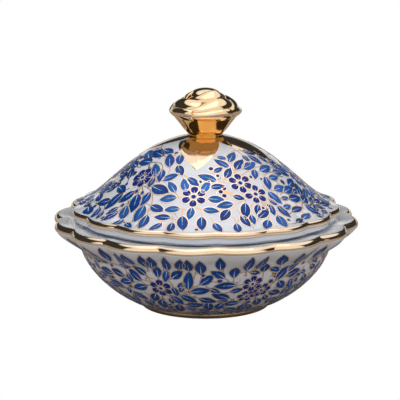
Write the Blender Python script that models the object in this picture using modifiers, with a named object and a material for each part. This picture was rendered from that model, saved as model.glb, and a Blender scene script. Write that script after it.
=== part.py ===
"""Covered rice bowl: a scalloped porcelain bowl and domed lid with a gilded rose knob.

Metres, +Z up. The origin is the centre of the foot ring's resting face, and the
front of the dish, where one gilt leaf points, faces -Y. Scallop tips lie on the axes.
"""
from math import atan2, ceil, cos, hypot, pi, radians, sin

import bmesh
import bpy
from mathutils import Matrix

MM = 0.001
COLLECTION = "rice_bowl"

# Scallops round both rims.
LOBES = 16
SEGMENTS = LOBES * 4
ROUND_SEGMENTS = 48
KNOB_SEGMENTS = 24
WALL_POINTS = 7
FLANGE_POINTS = 4
DOME_POINTS = 10
BOWL_LOBE_DEPTH = 4.4 * MM
LID_LOBE_DEPTH = 3.3 * MM

# Bowl: foot, wall, flange and lip.
FOOT_RADIUS = 43.0 * MM
FOOT_HEIGHT = 3.6 * MM
FOOT_FLARE = 1.3 * MM
FOOT_WIDTH = 4.2 * MM
BASE_RECESS = 2.6 * MM
BASE_SLOPE = 1.5 * MM
FLOOR_BLEND = 9.0 * MM
FLOOR_HEIGHT = 7.4 * MM
BOWL_WALL = 4.0 * MM
WALL_BOTTOM = (45.1 * MM, 2.9 * MM)
WALL_SWELL = ((61.3 * MM, 9.3 * MM), (78.7 * MM, 24.2 * MM))
WALL_TOP = (83.4 * MM, 39.6 * MM)
FLANGE_SWELL = ((85.6 * MM, 44.4 * MM), (96.5 * MM, 48.0 * MM))
FLANGE_EDGE = (101.0 * MM, 53.8 * MM)
LIP_CENTRE = (98.9 * MM, 56.9 * MM)
LIP_RADIUS = 3.6 * MM
LEDGE_HEIGHT = 58.4 * MM
LEDGE_RAMP = ((85.4 * MM, 58.4 * MM), (88.0 * MM, 59.0 * MM), (93.0 * MM, 59.8 * MM))
NECK_RADIUS = 78.9 * MM
NECK_BOTTOM = 41.5 * MM
BOWL_LOBE_START = 84.0 * MM
BOWL_LOBE_FULL = 96.5 * MM

# Lid: dome, rim, skirt, resting foot and locating ring.
LID_WALL = 4.5 * MM
DOME_TOP = (0.0, 115.7 * MM)
DOME_SWELL = ((46.9 * MM, 115.7 * MM), (66.6 * MM, 72.4 * MM))
DOME_EDGE = (88.6 * MM, 68.35 * MM)
KNOB_SEAT = (12.6 * MM, 114.6 * MM)
LID_LIP_CENTRE = (88.2 * MM, 65.9 * MM)
LID_LIP_RADIUS = 2.5 * MM
SKIRT_BOTTOM = (87.9 * MM, 60.3 * MM)
SKIRT_INNER_RADIUS = 84.2 * MM
REST_INNER_RADIUS = 80.2 * MM
RING_RADIUS = 77.9 * MM
RING_INNER_RADIUS = 74.4 * MM
RING_BOTTOM = 51.5 * MM
RING_CHAMFER = 1.0 * MM
RING_RUNOUT = 3.0 * MM
LID_LOBE_START = 66.0 * MM
LID_LOBE_FULL = 88.0 * MM
SKIRT_LOBE_SHARE = 0.6

# Gilding and the gap that keeps neighbours apart.
GAP = 0.3 * MM
GILT = 0.5 * MM
BOWL_GILT_ARC = (-17.0, 92.0)
LID_GILT_ARC = (-52.0, 70.0)
FOOT_GILT = (0.4 * MM, 3.3 * MM)
LEAF_REACH = 46.0 * MM
LEAF_HALF_WIDTH = 13.4 * MM
LEAF_WIDEST = 24.0 * MM
LEAF_ROOT = 6.0 * MM
LEAF_ROOT_SHARE = 0.9
LEAF_SHOULDER = 7.4 * MM
LEAF_MARGIN = 2.0 * MM
LEAF_AZIMUTHS = (("front", 0.0), ("right", 79.0), ("back", 172.0), ("left", 262.0))

# Rose knob.
CUP_FOOT_RADIUS = 12.0 * MM
CUP_PROFILE = ((19.2, 126.4), (17.2, 123.8), (14.2, 119.6), (11.6, 116.4), (11.7, 115.6))
PETAL = 1.0 * MM
PETAL_TIERS = (
    # name, petals, first azimuth, span, radial twist, curve of radius and height
    ("petal_outer", 5, 280.0, 82.0, 1.3, ((19.6, 128.6), (23.0, 129.0), (27.4, 130.6), (24.0, 134.8))),
    ("petal_middle", 4, 290.0, 96.0, 1.4, ((13.8, 129.8), (18.6, 131.0), (19.0, 136.0), (14.6, 139.6))),
    ("petal_inner", 3, 240.0, 124.0, 1.1, ((8.8, 129.6), (12.4, 133.0), (12.6, 139.6), (8.8, 143.2))),
)
PETAL_GRID = (7, 5)
PETAL_CORNER_DROP = 0.3
PETAL_DIP = 0.8
PETAL_SAMPLES = 40
BUD_PROFILE = ((0.0, 147.0), (2.6, 146.6), (4.6, 145.2), (5.8, 142.4), (6.2, 138.0), (6.0, 132.0), (5.4, 126.8))

PORCELAIN = ("porcelain", (0.80, 0.82, 0.87, 1.0), 0.12, 0.0)
GOLD = ("gold", (0.83, 0.57, 0.26, 1.0), 0.15, 1.0)
SHARP_ANGLE = 40.0
MERGE_DISTANCE = 0.01 * MM
AXIS_SIZE = 20.0 * MM


def clear_scene():
    for obj in list(bpy.data.objects):
        bpy.data.objects.remove(obj, do_unlink=True)


def new_collection(name):
    collection = bpy.data.collections.new(name)
    bpy.context.scene.collection.children.link(collection)
    return collection


def new_material(part_name, finish):
    kind, colour, roughness, metallic = finish
    material = bpy.data.materials.new(f"{part_name}_{kind}")
    material.use_nodes = True
    shader = material.node_tree.nodes["Principled BSDF"]
    shader.inputs["Base Color"].default_value = colour
    shader.inputs["Roughness"].default_value = roughness
    shader.inputs["Metallic"].default_value = metallic
    material.diffuse_color = colour
    return material


def add_part(name, mesh, finish, parent):
    """Add a named piece of the dish, with its own material, under its body's empty."""
    mesh.name = name
    mesh.materials.clear()
    mesh.materials.append(new_material(name, finish))
    mesh.shade_smooth()
    mesh.set_sharp_from_angle(angle=radians(SHARP_ANGLE))
    part = bpy.data.objects.new(name, mesh)
    bpy.data.collections[COLLECTION].objects.link(part)
    part.parent = parent
    part.matrix_parent_inverse = Matrix.Translation(-parent.location)
    return part


def evaluated_mesh(obj):
    """The object's mesh with its modifiers applied; the object itself is removed."""
    depsgraph = bpy.context.evaluated_depsgraph_get()
    mesh = bpy.data.meshes.new_from_object(obj.evaluated_get(depsgraph), depsgraph=depsgraph)
    bpy.data.objects.remove(obj, do_unlink=True)
    return mesh


# Profiles are lists of (radius, height, share of the scallop), down the outer side.

def bezier(start, handles, end, count):
    """Points of a cubic curve from start to end, both included."""
    points = []
    for i in range(count):
        t = i / (count - 1)
        weights = ((1 - t) ** 3, 3 * t * (1 - t) ** 2, 3 * t * t * (1 - t), t ** 3)
        controls = (start, handles[0], handles[1], end)
        points.append(tuple(sum(w * c[k] for w, c in zip(weights, controls)) for k in (0, 1)))
    return points


def arc(centre, radius, first, last, step=30.0):
    """Points of an arc in the profile plane; angles in degrees from the outward direction."""
    count = ceil(abs(last - first) / step)
    angles = [radians(first + (last - first) * i / count) for i in range(count + 1)]
    return [(centre[0] + radius * cos(a), centre[1] + radius * sin(a)) for a in angles]


def offset(points, distance):
    """Points moved to the left of their direction of travel."""
    moved = []
    for i, (r, z) in enumerate(points):
        before = points[max(i - 1, 0)]
        after = points[min(i + 1, len(points) - 1)]
        run, rise = after[0] - before[0], after[1] - before[1]
        length = hypot(run, rise)
        moved.append((r - distance * rise / length, z + distance * run / length))
    return moved


def smooth_share(radius, start, full):
    """0 inside the start radius, 1 outside the full radius, eased between."""
    t = min(max((radius - start) / (full - start), 0.0), 1.0)
    return t * t * (3.0 - 2.0 * t)


def with_share(points, share):
    return [(r, z, share(r) if callable(share) else share) for r, z in points]


def turned_mesh(profile, closed, segments=SEGMENTS, lobe_depth=0.0):
    """Turn a profile about Z with a Screw modifier, then pull its radius in between lobes."""
    mesh = bpy.data.meshes.new("profile")
    edges = [(i, i + 1) for i in range(len(profile) - 1)]
    if closed:
        edges.append((len(profile) - 1, 0))
    mesh.from_pydata([(r, 0.0, z) for r, z, _ in profile], edges, [])
    blank = bpy.data.objects.new("profile", mesh)
    bpy.context.scene.collection.objects.link(blank)
    group = blank.vertex_groups.new(name="lobe")
    for i, (_, _, share) in enumerate(profile):
        group.add([i], share, "REPLACE")
    screw = blank.modifiers.new("turn", "SCREW")
    screw.steps = segments
    screw.render_steps = segments
    screw.use_merge_vertices = True
    screw.merge_threshold = MERGE_DISTANCE
    bpy.context.view_layer.update()
    result = evaluated_mesh(blank)
    for vertex in result.vertices:
        share = vertex.groups[0].weight if vertex.groups else 0.0
        radius = hypot(vertex.co.x, vertex.co.y)
        if radius * share == 0.0:
            continue
        drop = 1.0 - abs(cos(LOBES * atan2(vertex.co.y, vertex.co.x) / 2.0))
        scale = 1.0 - lobe_depth * share * drop / radius
        vertex.co.x *= scale
        vertex.co.y *= scale
    return result


def bowl_share(radius):
    return smooth_share(radius, BOWL_LOBE_START, BOWL_LOBE_FULL)


def lid_share(radius):
    return smooth_share(radius, LID_LOBE_START, LID_LOBE_FULL)


def step_angle(radius):
    """Degrees of arc that leave the gap beside the end of a gilt band."""
    return GAP / radius * 180.0 / pi


def band_seat(centre, radius, first, last):
    """Lip profile from its first to its last angle, sunk to take a gilt band between them."""
    margin = step_angle(radius) if last > first else -step_angle(radius)
    seat = arc(centre, radius - GILT - GAP, first, last)
    outer_start = arc(centre, radius, first - margin, first - 2 * margin)[:1]
    outer_end = arc(centre, radius, last + margin, last + 2 * margin)[:1]
    return outer_start + seat + outer_end


def gilt_band(centre, radius, first, last):
    """Closed section of a gilt band laid round a lip."""
    outer = arc(centre, radius, last, first)
    inner = arc(centre, radius - GILT, first, last)
    return outer + inner


def make_bowl(parent):
    wall = bezier(WALL_BOTTOM, WALL_SWELL, WALL_TOP, WALL_POINTS)
    inner_wall = [p for p in offset(wall, BOWL_WALL) if p[0] < NECK_RADIUS and p[1] > FLOOR_HEIGHT]
    flange = bezier(FLANGE_EDGE, FLANGE_SWELL[::-1], WALL_TOP, FLANGE_POINTS)
    ledge = [(NECK_RADIUS, NECK_BOTTOM), (NECK_RADIUS, LEDGE_HEIGHT), *LEDGE_RAMP]
    lip = band_seat(LIP_CENTRE, LIP_RADIUS, *BOWL_GILT_ARC[::-1])
    foot_top = (FOOT_RADIUS + FOOT_FLARE, FOOT_HEIGHT)
    foot = [(foot_top[0] - GILT - GAP, foot_top[1] - GAP), (FOOT_RADIUS - GILT - GAP, 0.0)]
    under = [(FOOT_RADIUS - FOOT_WIDTH, 0.0), (FOOT_RADIUS - FOOT_WIDTH - BASE_SLOPE, BASE_RECESS)]
    points = [(0.0, FLOOR_HEIGHT), (inner_wall[0][0] - FLOOR_BLEND, FLOOR_HEIGHT)]
    points += inner_wall + ledge + lip + flange + wall[-2:0:-1] + foot + under + [(0.0, BASE_RECESS)]
    mesh = turned_mesh(with_share(points, bowl_share), False, lobe_depth=BOWL_LOBE_DEPTH)
    add_part("bowl_body", mesh, PORCELAIN, parent)

    band = with_share(gilt_band(LIP_CENTRE, LIP_RADIUS, *BOWL_GILT_ARC), 1.0)
    mesh = turned_mesh(band, True, lobe_depth=BOWL_LOBE_DEPTH)
    add_part("bowl_rim_gilding", mesh, GOLD, parent)

    low, high = FOOT_GILT
    radii = [FOOT_RADIUS + FOOT_FLARE * z / FOOT_HEIGHT for z in (high, low)]
    ring = [(radii[0], high), (radii[1], low), (radii[1] - GILT, low), (radii[0] - GILT, high)]
    mesh = turned_mesh(with_share(ring, 0.0), True, segments=ROUND_SEGMENTS)
    add_part("foot_gilding", mesh, GOLD, parent)


def dome_profile(count):
    """Outer curve of the lid from beside the knob's seat out to the rim."""
    curve = bezier(DOME_TOP, DOME_SWELL, DOME_EDGE, count)
    return [p for p in curve if p[0] > KNOB_SEAT[0]]


def make_lid(parent):
    dome = dome_profile(DOME_POINTS)
    inner = offset(dome, -LID_WALL)[::-1]
    inner = [p for p in inner if p[0] < RING_INNER_RADIUS - RING_CHAMFER]
    lip = band_seat(LID_LIP_CENTRE, LID_LIP_RADIUS, *LID_GILT_ARC[::-1])
    top = [(0.0, KNOB_SEAT[1]), KNOB_SEAT] + dome[:-1]
    rest_height = LEDGE_HEIGHT + GAP
    inside = [
        (SKIRT_INNER_RADIUS, SKIRT_BOTTOM[1]),
        (SKIRT_INNER_RADIUS - GAP, rest_height),
        (REST_INNER_RADIUS, rest_height),
        (RING_RADIUS, rest_height + RING_CHAMFER),
        (RING_RADIUS, RING_BOTTOM),
        (RING_INNER_RADIUS, RING_BOTTOM),
        (RING_INNER_RADIUS, rest_height + RING_RUNOUT),
    ]
    profile = with_share(top, lid_share) + with_share(lip, 1.0) + with_share([SKIRT_BOTTOM], SKIRT_LOBE_SHARE)
    profile += with_share(inside + inner + [(0.0, inner[-1][1])], 0.0)
    mesh = turned_mesh(profile, False, lobe_depth=LID_LOBE_DEPTH)
    add_part("lid_shell", mesh, PORCELAIN, parent)

    band = with_share(gilt_band(LID_LIP_CENTRE, LID_LIP_RADIUS, *LID_GILT_ARC), 1.0)
    mesh = turned_mesh(band, True, lobe_depth=LID_LOBE_DEPTH)
    add_part("lid_rim_gilding", mesh, GOLD, parent)


def leaf_cutter(collection):
    """Upright prism of one leaf outline, root at the centre and tip towards -Y."""
    curve = bpy.data.curves.new("leaf_outline", "CURVE")
    curve.dimensions = "2D"
    curve.fill_mode = "BOTH"
    curve.extrude = 0.5 * LEAF_REACH
    curve.resolution_u = 5
    spline = curve.splines.new("BEZIER")
    root = LEAF_ROOT * LEAF_ROOT_SHARE
    points = ((root, -LEAF_ROOT), (LEAF_HALF_WIDTH, -LEAF_WIDEST), (0.0, -LEAF_REACH),
              (-LEAF_HALF_WIDTH, -LEAF_WIDEST), (-root, -LEAF_ROOT))
    spline.bezier_points.add(len(points) - 1)
    spline.use_cyclic_u = True
    for knot, (x, y) in zip(spline.bezier_points, points):
        knot.handle_left_type = knot.handle_right_type = "FREE"
        knot.co = (x, y, 0.0)
        turn = (LEAF_SHOULDER if x > 0 else -LEAF_SHOULDER) if y == -LEAF_WIDEST else 0.0
        knot.handle_left = (x, y + turn, 0.0)
        knot.handle_right = (x, y - turn, 0.0)
    outline = bpy.data.objects.new("leaf_outline", curve)
    bpy.context.scene.collection.objects.link(outline)
    bpy.context.view_layer.update()
    mesh = evaluated_mesh(outline)
    solid = bmesh.new()
    solid.from_mesh(mesh)
    bmesh.ops.remove_doubles(solid, verts=solid.verts, dist=MERGE_DISTANCE)
    bmesh.ops.recalc_face_normals(solid, faces=solid.faces)
    bmesh.ops.translate(solid, verts=solid.verts, vec=(0.0, 0.0, 2.0 * LEAF_REACH + LEAF_HALF_WIDTH))
    solid.to_mesh(mesh)
    solid.free()
    cutter = bpy.data.objects.new("leaf_cutter", mesh)
    cutter.hide_render = True
    cutter.display_type = "WIRE"
    collection.objects.link(cutter)
    return cutter


def make_leaves(parent, cutters):
    """Four gilt leaves lying on the dome round the knob's foot."""
    cutter = leaf_cutter(cutters)
    dome = [p for p in dome_profile(2 * DOME_POINTS) if p[0] < LEAF_REACH + LEAF_MARGIN]
    film = offset(dome, GAP + GILT) + offset(dome, GAP)[::-1]
    mesh = turned_mesh(with_share(film, 0.0), True, segments=ROUND_SEGMENTS)
    for side, azimuth in LEAF_AZIMUTHS:
        turn = radians(azimuth)
        blank = bpy.data.objects.new("leaf_blank", mesh.copy())
        bpy.context.scene.collection.objects.link(blank)
        blank.data.transform(Matrix.Rotation(-turn, 4, "Z"))
        cut = blank.modifiers.new("cut", "BOOLEAN")
        cut.operation = "INTERSECT"
        cut.solver = "EXACT"
        cut.object = cutter
        bpy.context.view_layer.update()
        leaf = evaluated_mesh(blank)
        leaf.transform(Matrix.Rotation(turn, 4, "Z"))
        add_part(f"leaf_gilding_{side}", leaf, GOLD, parent)


def petal_mesh(azimuth, span, twist, curve):
    """A cupped petal: a grid bent round the axis, one edge tucked in and the other out."""
    across, up = PETAL_GRID
    start, handle_a, handle_b, end = (tuple(v * MM for v in p) for p in curve)
    sheet = bmesh.new()
    bmesh.ops.create_grid(sheet, x_segments=across, y_segments=up, size=1.0)
    fine = bezier(start, (handle_a, handle_b), end, PETAL_SAMPLES + 1)
    for vertex in sheet.verts:
        side = vertex.co.x
        rise = (vertex.co.y + 1.0) / 2.0
        reach = rise * (1.0 - PETAL_CORNER_DROP * side ** 4)
        radius, height = fine[round(reach * PETAL_SAMPLES)]
        angle = radians(azimuth + side * span / 2.0)
        radius += twist * MM * side
        height -= PETAL_DIP * twist * MM * side
        vertex.co = (radius * cos(angle), radius * sin(angle), height)
    mesh = bpy.data.meshes.new("petal")
    sheet.to_mesh(mesh)
    sheet.free()
    blank = bpy.data.objects.new("petal", mesh)
    bpy.context.scene.collection.objects.link(blank)
    thicken = blank.modifiers.new("thickness", "SOLIDIFY")
    thicken.thickness = PETAL
    thicken.offset = 0.0
    bpy.context.view_layer.update()
    return evaluated_mesh(blank)


def make_knob(parent):
    foot = KNOB_SEAT[1] + GAP
    cup = [(0.0, CUP_PROFILE[0][1] * MM)] + [(r * MM, z * MM) for r, z in CUP_PROFILE]
    cup += [(CUP_FOOT_RADIUS, foot), (0.0, foot)]
    add_part("knob_cup", turned_mesh(with_share(cup, 0.0), False, segments=KNOB_SEGMENTS), GOLD, parent)
    for name, count, first, span, twist, curve in PETAL_TIERS:
        for i in range(count):
            mesh = petal_mesh(first + i * 360.0 / count, span, twist, curve)
            add_part(f"{name}_{i + 1}", mesh, GOLD, parent)
    bud = [(r * MM, z * MM) for r, z in BUD_PROFILE]
    bud.append((0.0, bud[-1][1]))
    add_part("rose_bud", turned_mesh(with_share(bud, 0.0), False, segments=KNOB_SEGMENTS), GOLD, parent)


def add_empty(name, height):
    empty = bpy.data.objects.new(name, None)
    empty.empty_display_size = AXIS_SIZE
    empty.location = (0.0, 0.0, height)
    bpy.data.collections[COLLECTION].objects.link(empty)
    return empty


def main():
    clear_scene()
    new_collection(COLLECTION)
    cutters = new_collection("cutters")
    bowl = add_empty("bowl_origin", 0.0)
    lid = add_empty("lid_origin", LEDGE_HEIGHT + GAP)
    make_bowl(bowl)
    make_lid(lid)
    make_leaves(lid, cutters)
    make_knob(lid)


main()
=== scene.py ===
"""Looks of the covered rice bowl: glazed porcelain, fired gold and hand-painted flowers.

Everything is in metres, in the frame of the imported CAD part. Azimuths run from the front
of the dish (-Y) towards +X, in radians. The tables of the painting hold degrees and
millimetres, and so do the functions whose docstrings say so.
"""
from math import atan2, cos, degrees, pi, radians, sin
from random import Random

import bmesh
import bpy
import numpy as np
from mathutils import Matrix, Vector


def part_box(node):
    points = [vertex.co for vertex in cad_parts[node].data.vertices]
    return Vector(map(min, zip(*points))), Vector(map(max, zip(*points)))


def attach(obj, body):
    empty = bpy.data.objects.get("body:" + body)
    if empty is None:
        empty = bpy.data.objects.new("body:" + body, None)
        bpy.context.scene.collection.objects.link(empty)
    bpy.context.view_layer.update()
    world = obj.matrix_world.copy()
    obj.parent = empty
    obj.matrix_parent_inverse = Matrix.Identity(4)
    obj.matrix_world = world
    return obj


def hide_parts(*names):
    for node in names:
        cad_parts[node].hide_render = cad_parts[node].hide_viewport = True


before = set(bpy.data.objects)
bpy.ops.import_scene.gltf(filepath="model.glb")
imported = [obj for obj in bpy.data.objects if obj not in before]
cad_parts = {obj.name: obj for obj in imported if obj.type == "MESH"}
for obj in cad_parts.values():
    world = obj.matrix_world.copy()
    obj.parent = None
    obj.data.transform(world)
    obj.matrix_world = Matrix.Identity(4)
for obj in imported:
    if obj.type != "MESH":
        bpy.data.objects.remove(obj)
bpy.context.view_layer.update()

MM = 0.001
LOBES = 16
AROUND = LOBES * 20
WELD = 0.001 * MM

# Sizes read from the frame.
RIM_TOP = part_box("bowl_rim_gilding")[1]
LID_RIM_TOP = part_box("lid_rim_gilding")[1]
FOOT_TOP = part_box("foot_gilding")[1]
RING_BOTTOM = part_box("lid_shell")[0].z

# Bowl section. Curves and runs are (radius, height) in millimetres, arcs are in degrees.
LIP = 3.6 * MM
LIP_CENTRE = (RIM_TOP.x - LIP, RIM_TOP.z - LIP)
LIP_ARC = (110.0, -24.0)
BOWL_GILT_ARC = (-12.0, 80.0)
BOWL_LOBE_DEPTH = 4.4 * MM
BOWL_LOBE_ZONE = (84.0 * MM, 96.5 * MM)
WALL_CURVE = ((83.4, 39.6), (78.7, 24.2), (61.3, 9.3), (45.1, 3.2))
FLANGE_CURVE = ((101.2, 54.6), (96.5, 48.0), (85.6, 44.4), (83.4, 39.6))
BOWL_WALL = 4.0 * MM
NECK_RADIUS = 78.9 * MM
NECK_BOTTOM = 41.5 * MM
LEDGE_HEIGHT = 58.4 * MM
LEDGE_EDGE = 85.4 * MM
FLANGE_TOP = ((88.0, 59.0), (93.0, 59.8), (96.2, 60.2))
FLOOR_HEIGHT = 7.4 * MM
FLOOR_CORNER = 14.0 * MM
FOOT_RADIUS = FOOT_TOP.x - 1.3 * MM
BASE_RECESS = 2.6 * MM
# Foot ring and its gilding, with radii counted from FOOT_RADIUS.
FOOT_RING = ((1.9, 3.6), (1.2, 3.1), (0.0, 0.0), (-4.2, 0.0))
FOOT_RING_INSIDE = 5.7 * MM
FOOT_GILT = ((1.35, 3.3), (0.2, 0.4))
FOOT_GILT_DEPTH = 0.5 * MM

# Lid section.
LID_LIP = 2.5 * MM
LID_LIP_CENTRE = (LID_RIM_TOP.x - LID_LIP, 65.9 * MM)
LID_LIP_ARC = (74.0, -62.0)
LID_GILT_ARC = (-52.0, 70.0)
LID_LOBE_DEPTH = 3.3 * MM
LID_LOBE_ZONE = (66.0 * MM, 88.0 * MM)
DOME_CURVE = ((0.0, 115.7), (46.9, 115.7), (66.6, 72.4), (88.8, 68.3))
LID_WALL = 4.5 * MM
LID_INSIDE_EDGE = 73.0 * MM
SEAT_GAP = 0.3 * MM
SKIRT = ((88.6, 62.0), (87.9, 60.3), (84.2, 60.3))
SKIRT_LOBE_SHARE = 0.6
SKIRT_LOBES_FROM = 84.0 * MM
# Inner and outer radius of the foot that the lid rests on, and of its locating ring.
REST_FOOT = (80.2 * MM, 83.9 * MM)
RING_WALL = (74.4 * MM, 77.9 * MM)
RING_INSIDE_HEIGHT = 3.0 * MM

# Gilding: how far the glaze is set back under a band of gold, rows across a band, and waves
# round its edges.
FILM = 0.06 * MM
BAND_ROWS = 14
BAND_WAVES = (3, 7, 12, 23, 37)


# ---- curves and shells

def bezier(controls, count):
    """Points of a cubic curve given in millimetres, returned in metres."""
    t = np.linspace(0.0, 1.0, count)[:, None]
    a, b, c, d = (np.array(p) * MM for p in controls)
    return (1 - t) ** 3 * a + 3 * t * (1 - t) ** 2 * b + 3 * t * t * (1 - t) * c + t ** 3 * d


def arc(centre, radius, first, last, count):
    """Arc in the section plane; degrees from the outward direction."""
    angles = np.radians(np.linspace(first, last, count))
    return np.stack([centre[0] + radius * np.cos(angles), centre[1] + radius * np.sin(angles)], 1)


def path(*stops):
    """Straight run through points given in metres."""
    return np.array(stops, float)


def run_from(radius, stops):
    """Straight run through points given in millimetres, with radii counted from this one."""
    return np.array(stops) * MM + (radius, 0.0)


def offset(points, distance):
    """Points moved to the left of their direction of travel."""
    step = np.gradient(points, axis=0)
    step /= np.linalg.norm(step, axis=1)[:, None]
    return points + distance * np.stack([-step[:, 1], step[:, 0]], 1)


def eased(value, low, high):
    """0 below low and 1 above high, with a smooth rise between them."""
    t = np.clip((value - low) / (high - low), 0.0, 1.0)
    return t * t * (3.0 - 2.0 * t)


# Largest share of an edge that a rounded corner may take.
FILLET_SHARE = 0.45


def fillet(points, radius, steps=5):
    """Rounds each corner of a run of points with a small quadratic curve."""
    out = [points[0]]
    for before, corner, after in zip(points, points[1:], points[2:]):
        cut_in = corner - before
        cut_out = after - corner
        reach_in = min(radius, np.linalg.norm(cut_in) * FILLET_SHARE)
        reach_out = min(radius, np.linalg.norm(cut_out) * FILLET_SHARE)
        a = corner - cut_in / np.linalg.norm(cut_in) * reach_in
        b = corner + cut_out / np.linalg.norm(cut_out) * reach_out
        for t in np.linspace(0.0, 1.0, steps):
            out.append((1 - t) ** 2 * a + 2 * t * (1 - t) * corner + t * t * b)
    out.append(points[-1])
    return np.array(out)


def lobe_drop(azimuth):
    """About 0 on a scallop's tip and 1 in the notch between two, a little uneven round the dish."""
    ripple = np.sqrt(np.cos(LOBES * azimuth / 2.0) ** 2 + 0.004)
    uneven = 1.0 + 0.07 * np.sin(5.0 * azimuth + 0.7) + 0.05 * np.sin(3.0 * azimuth + 2.0)
    return (1.0 - np.minimum(ripple, 1.0)) * uneven


def around(radius, azimuth, height):
    """Points at a radius, an azimuth and a height."""
    height = np.broadcast_to(height, radius.shape)
    return np.stack([radius * np.sin(azimuth), -radius * np.cos(azimuth), height], -1)


def turn(section, azimuths, depth):
    """Grid of points: section rows of (radius, height, share of the scallop) turned about Z."""
    radius = section[:, 0][:, None] - depth * section[:, 2][:, None] * lobe_drop(azimuths)[None, :]
    return around(radius, azimuths, section[:, 1][:, None])


def grid_faces(rows, columns, wrap):
    """Quads of a grid of rows by columns, closed along the columns if wrap is set."""
    across = columns if wrap else columns - 1
    r, c = np.meshgrid(np.arange(rows - 1), np.arange(across), indexing="ij")
    n = (c + 1) % columns
    low, high = r * columns, (r + 1) * columns
    return np.stack([low + c, low + n, high + n, high + c], -1).reshape(-1, 4)


def new_object(name, points, faces, material, weld=None):
    """A smooth mesh in the scene; weld is the distance within which points are joined."""
    mesh = bpy.data.meshes.new(name)
    mesh.from_pydata(np.asarray(points).reshape(-1, 3).tolist(), [], np.asarray(faces).tolist())
    if weld:
        solid = bmesh.new()
        solid.from_mesh(mesh)
        bmesh.ops.remove_doubles(solid, verts=solid.verts, dist=weld)
        solid.to_mesh(mesh)
        solid.free()
    mesh.validate()
    mesh.shade_smooth()
    obj = bpy.data.objects.new(name, mesh)
    bpy.context.scene.collection.objects.link(obj)
    mesh.materials.append(material)
    return obj


def turned_object(name, section, depth, material, closed=False):
    """A closed solid turned from a section, which starts and ends on the axis or is a loop."""
    azimuths = np.linspace(0.0, 2.0 * pi, AROUND, endpoint=False)
    if closed:
        section = np.vstack([section, section[:1]])
    grid = turn(section, azimuths, depth)
    faces = grid_faces(len(section), AROUND, True)[:, ::-1]
    return new_object(name, grid, faces, material, weld=WELD)


def with_share(points, share):
    """Adds to each section point how far it follows the scallops."""
    points = np.asarray(points)
    value = share(points[:, 0]) if callable(share) else np.full(len(points), float(share))
    return np.column_stack([points, value])


def bowl_share(radius):
    return eased(radius, *BOWL_LOBE_ZONE)


def lid_share(radius):
    return eased(radius, *LID_LOBE_ZONE)


# ---- materials

def new_material(name):
    material = bpy.data.materials.new(name)
    material.use_nodes = True
    nodes = material.node_tree.nodes
    return material, nodes, material.node_tree.links, nodes["Principled BSDF"]


def noise(nodes, links, scale, detail=3.0, roughness=0.5):
    """Noise in object space, at a scale in cycles per metre."""
    place = nodes.new("ShaderNodeTexCoord")
    texture = nodes.new("ShaderNodeTexNoise")
    texture.inputs["Scale"].default_value = scale
    texture.inputs["Detail"].default_value = detail
    texture.inputs["Roughness"].default_value = roughness
    links.new(place.outputs["Object"], texture.inputs["Vector"])
    return texture.outputs["Fac"]


def ramp(nodes, links, source, stops):
    """Colour ramp from (place, colour) stops; a bare number stands for a grey."""
    node = nodes.new("ShaderNodeValToRGB")
    marks = node.color_ramp.elements
    while len(marks) < len(stops):
        marks.new(0.5)
    for mark, (place, colour) in zip(marks, stops):
        mark.position = place
        rgb = (colour,) * 3 if isinstance(colour, (int, float)) else colour
        mark.color = (*rgb, 1.0)
    links.new(source, node.inputs["Fac"])
    return node.outputs["Color"]


def mixed(nodes, links, mode, first, second):
    """Blends two colours fully, in one of the mix node's modes."""
    node = nodes.new("ShaderNodeMix")
    node.data_type = "RGBA"
    node.blend_type = mode
    node.inputs["Factor"].default_value = 1.0
    links.new(first, node.inputs["A"])
    links.new(second, node.inputs["B"])
    return node.outputs["Result"]


def uneven_gloss(nodes, links, shader, scale, low, high):
    """A roughness that drifts between two values over the surface."""
    gloss = ramp(nodes, links, noise(nodes, links, scale), ((0.3, low), (0.7, high)))
    links.new(gloss, shader.inputs["Roughness"])


def bumped(nodes, links, shader, height, strength, distance):
    """A fine relief on a shader, with its height in metres."""
    node = nodes.new("ShaderNodeBump")
    node.inputs["Strength"].default_value = strength
    node.inputs["Distance"].default_value = distance
    links.new(height, node.inputs["Height"])
    links.new(node.outputs["Normal"], shader.inputs["Normal"])


def porcelain(name, colour, tint):
    """White glazed porcelain: a cloudy glaze with tiny specks and a soft orange-peel gloss."""
    material, nodes, links, shader = new_material(name)
    clouds = ramp(nodes, links, noise(nodes, links, 38.0, 4.0), ((0.35, colour), (0.68, tint)))
    specks = ramp(nodes, links, noise(nodes, links, 900.0, 2.0), ((0.70, 1.0), (0.78, 0.86)))
    links.new(mixed(nodes, links, "MULTIPLY", clouds, specks), shader.inputs["Base Color"])
    uneven_gloss(nodes, links, shader, 120.0, 0.10, 0.17)
    shader.inputs["IOR"].default_value = 1.55
    shader.inputs["Coat Weight"].default_value = 0.6
    shader.inputs["Coat Roughness"].default_value = 0.04
    bumped(nodes, links, shader, noise(nodes, links, 260.0, 2.0), 0.10, 0.15 * MM)
    return material


def gold(name, colour, roughness, wear):
    """Fired bright gold: warm mirror lustre with a faint relief and thin spots."""
    material, nodes, links, shader = new_material(name)
    shader.inputs["Metallic"].default_value = 1.0
    deep = tuple(c * f for c, f in zip(colour, (0.94, 0.88, 0.80)))
    tone = ramp(nodes, links, noise(nodes, links, 90.0, 4.0), ((0.35, colour), (0.72, deep)))
    thin = ramp(nodes, links, noise(nodes, links, 1400.0, 2.0), ((0.74, 1.0), (0.80, 1.0 - wear)))
    links.new(mixed(nodes, links, "MULTIPLY", tone, thin), shader.inputs["Base Color"])
    uneven_gloss(nodes, links, shader, 160.0, roughness * 0.7, roughness * 1.4)
    bumped(nodes, links, shader, noise(nodes, links, 420.0, 3.0), 0.12, 0.08 * MM)
    return material


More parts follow.
